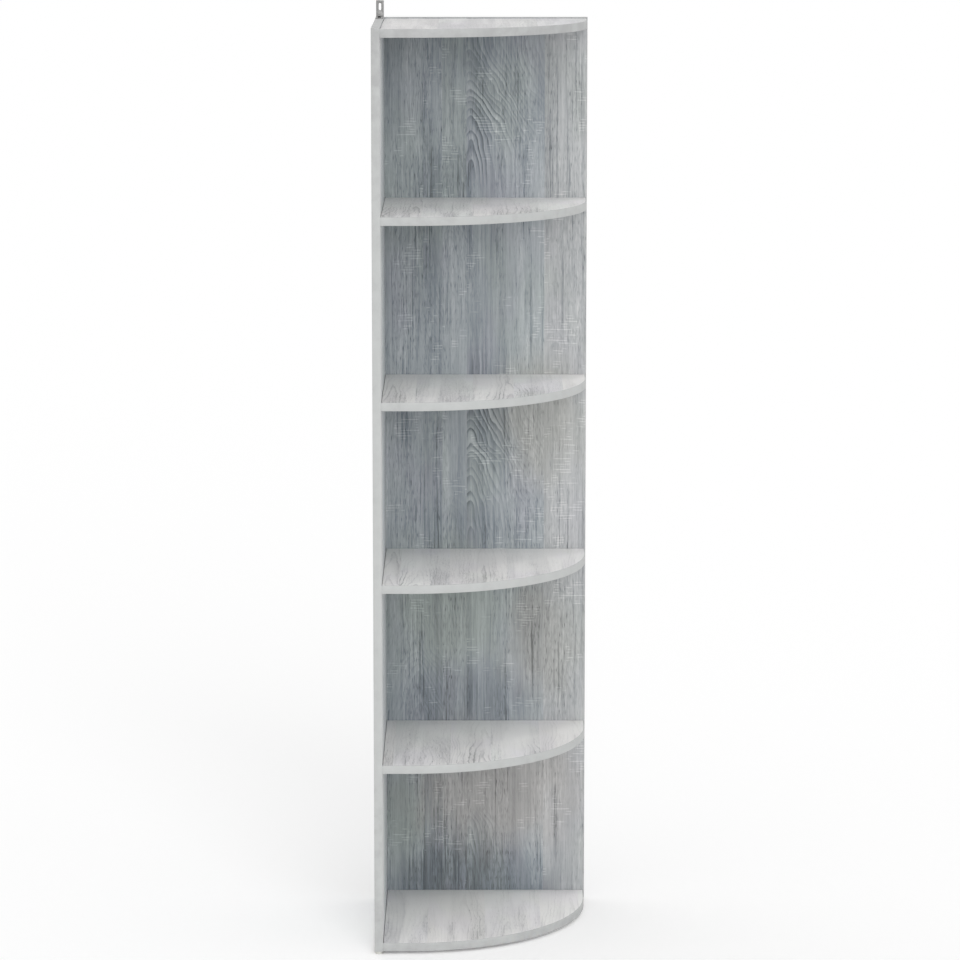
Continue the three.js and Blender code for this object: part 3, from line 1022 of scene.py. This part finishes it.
def screwMaster():
    screw = joiningScrew
    coneEnd = screw["rimHeight"] + screw["coneHeight"]
    threadStart = screw["shoulderEnd"] + screw["threadPitch"] / 2
    tipStart = screw["length"] - screw["tipLength"]
    outline = [
        (screw["headRadius"] - screw["rimChamfer"], 0),
        (screw["headRadius"], screw["rimChamfer"]),
        (screw["headRadius"], screw["rimHeight"]),
        (screw["shoulderRadius"], coneEnd),
        (screw["shoulderRadius"], screw["shoulderEnd"]),
        (screw["coreRadius"], screw["shoulderEnd"]),
    ]
    addThread(outline, screw, threadStart, tipStart - screw["threadPitch"])
    outline += [(screw["coreRadius"], tipStart), (screw["tipRadius"], screw["length"])]
    master = turnedPiece("screwMaster", screw["sides"], outline)
    cutAway(master, roundCutter(
        "socketCutter", screw["socketSides"], screw["socketRadius"], screw["socketDepth"] * 2))
    softShading(master, hardwareAngle)
    return master


sideScrews = []
backScrews = []
for node in sorted(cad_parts):
    if "_screw" not in node or node == "wall_bracket_screw":
        continue
    low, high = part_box(node)
    middle = (low + high) / 2
    if high.x - low.x > high.y - low.y:
        sideScrews.append((node, Vector((low.x, middle.y, middle.z)), rightward))
    else:
        backScrews.append((node, Vector((middle.x, high.y, middle.z)), -rearward))

screwShape = screwMaster()
for node, head, direction in sideScrews + backScrews:
    screwPiece = copyPiece(screwShape, node + "_shown")
    pointAlong(screwPiece, head, direction)
    finishPiece(screwPiece, node, zincFinish)
bpy.data.objects.remove(screwShape)
print("joining screws placed:", len(sideScrews) + len(backScrews))


# dowels with flutes, in the joint between the panels

dowel = {
    "radius": 4 * mm,
    "chamfer": 1 * mm,
    "fluteShare": 0.93,
    "fluteAngle": 20,
    "sides": 28,
}


def flutedDowel(node):
    low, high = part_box(node)
    middle = (low + high) / 2
    length = high.x - low.x
    radius = dowel["radius"]
    chamfer = dowel["chamfer"]
    slim = radius - chamfer
    outline = [(slim, 0), (radius, chamfer), (radius, length - chamfer), (slim, length)]
    pin = turnedPiece(node + "_shown", dowel["sides"], outline)
    step = 2 * pi / dowel["sides"]

    def inFlute(co):  # every other line of corners
        turn = round(atan2(co.y, co.x) / step)
        return near(co.xy.length, radius) and turn % 2 == 0

    flute = dowel["fluteShare"]
    pickCorners(pin, inFlute)
    bpy.ops.transform.resize(value=(flute, flute, 1), center_override=(0, 0, 0))
    objectMode()
    softShading(pin, dowel["fluteAngle"])
    pointAlong(pin, Vector((low.x, middle.y, middle.z)), rightward)
    finishPiece(pin, node, beechFinish)


# glides with their nails

nail = {
    "radius": 1 * mm,
    "neckRadius": 0.85 * mm,
    "rimRound": 0.1 * mm,
    "headHeight": 0.7 * mm,
    "neckStart": 0.91 * mm,
    "tipRadius": 0.15 * mm,
    "tipLength": 2 * mm,
    "sides": 16,
}
glide = {
    "radius": 6.5 * mm,
    "footRadius": 5.4 * mm,
    "footRound": 1.1 * mm,
    "footSteps": 5,
    "rimRound": 0.4 * mm,
    "socketRadius": 1.3 * mm,
    "socketDepth": 3 * mm,
    "sides": 48,
}


def glideNail(node):
    low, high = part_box(node)
    length = high.z - low.z
    outline = [
        (nail["neckRadius"], 0),
        (nail["radius"], nail["rimRound"]),
        (nail["radius"], nail["headHeight"]),
        (nail["neckRadius"], nail["neckStart"]),
        (nail["neckRadius"], length - nail["tipLength"]),
        (nail["tipRadius"], length),
    ]
    pin = turnedPiece(node + "_shown", nail["sides"], outline)
    standPiece(pin, node, zincFinish)


def roundedGlide(node):
    low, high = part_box(node)
    height = high.z - low.z
    outline = [(glide["footRadius"], 0)]
    for step in range(1, glide["footSteps"] + 1):
        turn = pi / 2 * step / glide["footSteps"]
        outline.append((
            glide["footRadius"] + (glide["radius"] - glide["footRadius"]) * sin(turn),
            glide["footRound"] * (1 - cos(turn)),
        ))
    outline += [
        (glide["radius"], height - glide["rimRound"]),
        (glide["radius"] - glide["rimRound"], height),
    ]
    foot = turnedPiece(node + "_shown", glide["sides"], outline)
    cutAway(foot, roundCutter(
        "nailSocket", nail["sides"], glide["socketRadius"], glide["socketDepth"] * 2, (0, 0, height)))
    standPiece(foot, node, nylonFinish)


# the bracket's screw: a low dome with a cross recess

panScrew = {
    "tipRadius": 0.3 * mm,
    "tipLength": 3 * mm,
    "coreRadius": 1.1 * mm,
    "threadRadius": 1.5 * mm,
    "threadPitch": 1.4 * mm,
    "valleyStart": 0.9,
    "neck": 2.2 * mm,
    "headRadius": 2.8 * mm,
    "headHeight": 2.4 * mm,
    "undersideShare": 0.96,
    "rimShare": 0.12,
    "domePower": 0.6,
    "domeTurn": 84,
    "domeSteps": 6,
    "recessWidth": 0.8 * mm,
    "recessReach": 1.6 * mm,
    "recessDepth": 1.3 * mm,
    "sides": 32,
}


def domeRise(turn):
    return panScrew["rimShare"] + (1 - panScrew["rimShare"]) * sin(turn)


def panHeadScrew(node):
    low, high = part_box(node)
    screw = panScrew
    top = high.z - low.z
    seat = top - screw["headHeight"]
    outline = [(screw["tipRadius"], 0)]
    threadEnd = addThread(outline, screw, screw["tipLength"], seat - screw["neck"] - screw["threadPitch"])
    outline += [
        (screw["coreRadius"], threadEnd),
        (screw["coreRadius"], seat),
        (screw["headRadius"] * screw["undersideShare"], seat),
    ]
    domeEnd = radians(screw["domeTurn"])
    for step in range(screw["domeSteps"] + 1):
        turn = domeEnd * step / screw["domeSteps"]
        outline.append((
            screw["headRadius"] * cos(turn) ** screw["domePower"],
            seat + screw["headHeight"] * domeRise(turn) / domeRise(domeEnd),
        ))
    pin = turnedPiece(node + "_shown", screw["sides"], outline)
    recessLow = Vector((0, 0, top - screw["recessDepth"]))
    recessHigh = Vector((0, 0, top + screw["recessDepth"]))
    half = screw["recessWidth"] / 2
    for reach in (Vector((screw["recessReach"], half, 0)), Vector((half, screw["recessReach"], 0))):
        cutAway(pin, blockBetween("crossCutter", recessLow - reach, recessHigh + reach))
    standPiece(pin, node, blackFinish)


for node in sorted(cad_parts):
    if node.startswith("corner_dowel"):
        flutedDowel(node)
    elif node.endswith("_nail"):
        glideNail(node)
    elif node.startswith("glide_"):
        roundedGlide(node)
panHeadScrew("wall_bracket_screw")
print("small hardware done")


# wall bracket: a strip of sheet steel, bent up at the rear, with a slot and a hole

bracket = {
    "sheet": 1.5 * mm,
    "bend": 3 * mm,
    "bendSegments": 8,
    "corner": 1.5 * mm,
    "cornerSegments": 5,
    "slotWidth": 4.6 * mm,
    "slotLength": 13 * mm,
    "slotTopMargin": 5 * mm,
    "slotEndShare": 0.999,
    "slotSegments": 10,
    "holeRadius": 2 * mm,
    "cutterReach": 5 * mm,
    "edgeRound": 0.2 * mm,
}


def bentBracket(node):
    low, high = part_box(node)
    middle = (low + high) / 2
    strip = sheetBetween(node + "_shown", low, high)
    pickEdges(strip, lambda start, end: near(start.y, high.y) and near(end.y, high.y))
    extrudeUp(high.z - low.z)
    objectMode()

    def atBend(co):
        return near(co.y, high.y) and near(co.z, low.z)

    pickEdges(strip, lambda start, end: atBend(start) and atBend(end))
    roundPicked(bracket["bend"], bracket["bendSegments"])
    pickCorners(strip, lambda co: near(co.y, low.y) or near(co.z, high.z))
    roundPicked(bracket["corner"], bracket["cornerSegments"], "VERTICES")
    applyModifier(strip, "SOLIDIFY", thickness=bracket["sheet"], offset=1, use_even_offset=True)
    tidyShell(strip)

    slotTop = high.z - bracket["slotTopMargin"]
    half = bracket["slotWidth"] / 2
    reach = bracket["cutterReach"]
    slotLow = Vector((middle.x - half, high.y - reach, slotTop - bracket["slotLength"]))
    slotHigh = Vector((middle.x + half, high.y + reach, slotTop))
    slot = blockBetween("slotCutter", slotLow, slotHigh)
    pickEdges(slot, lambda start, end: not near(start.y, end.y))
    roundPicked(half * bracket["slotEndShare"], bracket["slotSegments"])
    cutAway(strip, slot)

    hole = Vector((middle.x, footOf("wall_bracket_screw").y, low.z))
    cutAway(strip, roundCutter("holeCutter", panScrew["sides"], bracket["holeRadius"], reach * 2, hole))
    softenEdges(strip, bracket["edgeRound"])
    softShading(strip, hardwareAngle)
    finishPiece(strip, node, steelFinish)


bentBracket("wall_bracket")
print("wall bracket done")


# the two panels, bored for screws, dowels and nails

panel = {
    "edgeRound": 0.3 * mm,
    "pilotRadius": 2.8 * mm,
    "room": 0.3 * mm,
    "borePast": 0.3 * mm,
    "decorFace": 0.9,
}


def boring(start, direction, radius, depth):  # a straight cutter, from a little above the surface
    length = depth + overcut
    cutter = roundCutter("boring", joiningScrew["sides"], radius, length, (0, 0, (depth - overcut) / 2))
    pointAlong(cutter, start, direction)
    return cutter


def steppedHoles(screws):  # the holes in a panel that the screws' heads and shoulders sit in
    screw = joiningScrew
    headHole = screw["headRadius"] + screw["clearance"]
    shoulderHole = screw["shoulderRadius"] + screw["clearance"]
    rimEnd = screw["sink"] + screw["rimHeight"]
    shape = turnedPiece("holeMaster", screw["sides"], [
        (headHole, -overcut),
        (headHole, rimEnd),
        (shoulderHole, rimEnd + screw["coneHeight"]),
        (shoulderHole, screw["holeDepth"]),
    ])
    holes = []
    for node, head, direction in screws:
        hole = copyPiece(shape, "steppedHole")
        pointAlong(hole, head - direction * screw["sink"], direction)
        holes.append(hole)
    bpy.data.objects.remove(shape)
    return holes


def boredPanel(name, node, cutters, decor, through):  # decor on the two wide faces, raw board elsewhere
    low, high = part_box(node)
    board = blockBetween(name, low, high)
    softenEdges(board, panel["edgeRound"])
    cutAway(board, joined(cutters, "cutters"))
    softShading(board)
    finishPiece(board, node, decor)
    board.data.materials.append(rawEdge)
    for face in board.data.polygons:
        if abs(face.normal.dot(through)) < panel["decorFace"]:
            face.material_index = 1


sideCutters = steppedHoles(sideScrews)
backCutters = steppedHoles(backScrews)
screwReach = joiningScrew["length"] + joiningScrew["sink"] + panel["borePast"] - (innerX - sideLow.x)
dowelHole = dowel["radius"] + panel["room"]
bracketScrewHole = panScrew["threadRadius"] + panel["room"]
for node in sorted(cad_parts):
    low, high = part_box(node)
    middle = (low + high) / 2
    joint = Vector((innerX, middle.y, middle.z))
    if node.startswith("corner_dowel"):
        sideCutters.append(boring(joint, -rightward, dowelHole, innerX - low.x + panel["borePast"]))
        backCutters.append(boring(joint, rightward, dowelHole, high.x - innerX + panel["borePast"]))
    elif node.startswith("corner_screw"):
        backCutters.append(boring(joint, rightward, panel["pilotRadius"], screwReach))
    elif node.endswith("_nail") and "shelf" not in node:
        start = Vector((middle.x, middle.y, sideLow.z))
        cutter = boring(start, upward, glide["socketRadius"], high.z - sideLow.z + panel["borePast"])
        (sideCutters if middle.x < innerX else backCutters).append(cutter)
    elif node == "wall_bracket_screw":
        start = Vector((middle.x, middle.y, sideHigh.z))
        sideCutters.append(boring(start, -upward, bracketScrewHole, sideHigh.z - low.z + panel["borePast"]))

boredPanel("sidePanel", "side_panel", sideCutters, sideDecorLitAndShaded, rightward)
boredPanel("backPanel", "back_panel", backCutters, backDecor, rearward)
print("panels done")


# thin strips on the panels' edges, their two long outer edges rounded

panelBand = {
    "round": 0.55 * mm,
    "segments": 3,
    "cutDepth": 5 * mm,
}


def bandStrip(node, outward):
    low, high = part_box(node)
    strip = blockBetween(node + "_shown", low, high)
    reach = max(low.dot(outward), high.dot(outward))
    longest = max(high - low)

    def longOuter(start, end):
        onFace = near(start.dot(outward), reach) and near(end.dot(outward), reach)
        return onFace and near((end - start).length, longest)

    pickEdges(strip, longOuter)
    roundPicked(panelBand["round"], panelBand["segments"])
    if node == "side_panel_top_band":  # room for the bracket's screw
        head = footOf("wall_bracket_screw")
        head.z = high.z
        cutAway(strip, boring(head, -upward, bracketScrewHole, panelBand["cutDepth"]))
    softShading(strip, hardwareAngle)
    finishPiece(strip, node, bandFinish)


bandStrip("side_panel_front_band", -rearward)
bandStrip("side_panel_top_band", upward)
bandStrip("back_panel_end_band", rightward)
bandStrip("back_panel_top_band", upward)
print("panel bands done")


# shelves: a square sheet, one corner rounded wide, raised to its thickness

shelf = {
    "straightRun": 48 * mm,
    "arcSegments": 72,
    "bandThickness": 1.3 * mm,
    "wallGap": 0.9 * mm,
    "edgeRound": 0.35 * mm,
    "bandRound": 0.8 * mm,
    "bandSegments": 4,
    "arcSlack": 0.2 * mm,
}


def roundedSheet(name, inset, wallGap=0.0):
    low = Vector((innerX + wallGap, shelfLow.y + inset, shelfLow.z))
    high = Vector((shelfHigh.x - inset, innerY - wallGap, shelfLow.z))
    sheet = sheetBetween(name, low, high)
    pickCorners(sheet, lambda co: near(co.x, high.x) and near(co.y, low.y))
    roundPicked(high.x - innerX - shelf["straightRun"], shelf["arcSegments"], "VERTICES")
    return sheet


def raised(piece):
    pickAll(piece)
    extrudeUp(shelfHigh.z - shelfLow.z)
    objectMode()


def shelfBoardMaster():
    board = roundedSheet("shelfMaster", shelf["bandThickness"], shelf["wallGap"])
    raised(board)
    tidyShell(board)
    softenEdges(board, shelf["edgeRound"])
    pilots = []
    for node, head, direction in sideScrews + backScrews:
        if node.startswith("bottom_shelf"):
            start = Vector((innerX, head.y, head.z)) if direction.x else Vector((head.x, innerY, head.z))
            pilots.append(boring(start, direction, panel["pilotRadius"], screwReach))
    cutAway(board, joined(pilots, "pilots"))
    softShading(board)
    return board


def shelfBandMaster():
    band = roundedSheet("bandMaster", 0)

    def alongWall(start, end):
        besideSide = near(start.x, innerX) and near(end.x, innerX)
        besideBack = near(start.y, innerY) and near(end.y, innerY)
        return besideSide or besideBack

    pickEdges(band, alongWall)
    bpy.ops.mesh.delete(type="EDGE")
    raised(band)
    applyModifier(band, "SOLIDIFY", thickness=shelf["bandThickness"], offset=1, use_even_offset=True)
    tidyShell(band)
    reach = shelfHigh.x - innerX - shelf["straightRun"]
    centre = Vector((shelfHigh.x - reach, shelfLow.y + reach))

    def onFront(co):
        past = co.xy - centre
        if past.x > 0 and past.y < 0:
            return near(past.length, reach, shelf["arcSlack"])
        return near(co.y, shelfLow.y) or near(co.x, shelfHigh.x)

    pickEdges(band, lambda start, end: onFront(start) and onFront(end) and near(start.z, end.z))
    roundPicked(shelf["bandRound"], shelf["bandSegments"])
    softShading(band)
    return band


def raisedCopy(master, name, lift):
    twin = copyPiece(master, name)
    twin.location = (0, 0, lift)
    settle(twin)
    return twin


boardShape = shelfBoardMaster()
bandShape = shelfBandMaster()
shelfNames = ["bottom_shelf"] + [f"middle_shelf_{count}" for count in (1, 2, 3, 4)] + ["top_shelf"]
for node in shelfNames:
    low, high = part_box(node)
    lift = low.z - shelfLow.z
    board = raisedCopy(boardShape, node + "_shown", lift)
    if node == "bottom_shelf":
        start = footOf("glide_shelf_front_nail")
        start.z = low.z
        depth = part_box("glide_shelf_front_nail")[1].z - low.z + panel["borePast"]
        cutAway(board, boring(start, upward, glide["socketRadius"], depth))
    finishPiece(board, node, topDecorPaintedShade if node == "top_shelf" else shelfDecorPaintedLight)
    band = raisedCopy(bandShape, node + "_band_shown", lift)
    finishPiece(band, node + "_front_band", bandFinish)
bpy.data.objects.remove(boardShape)
bpy.data.objects.remove(bandShape)
print("shelves done")
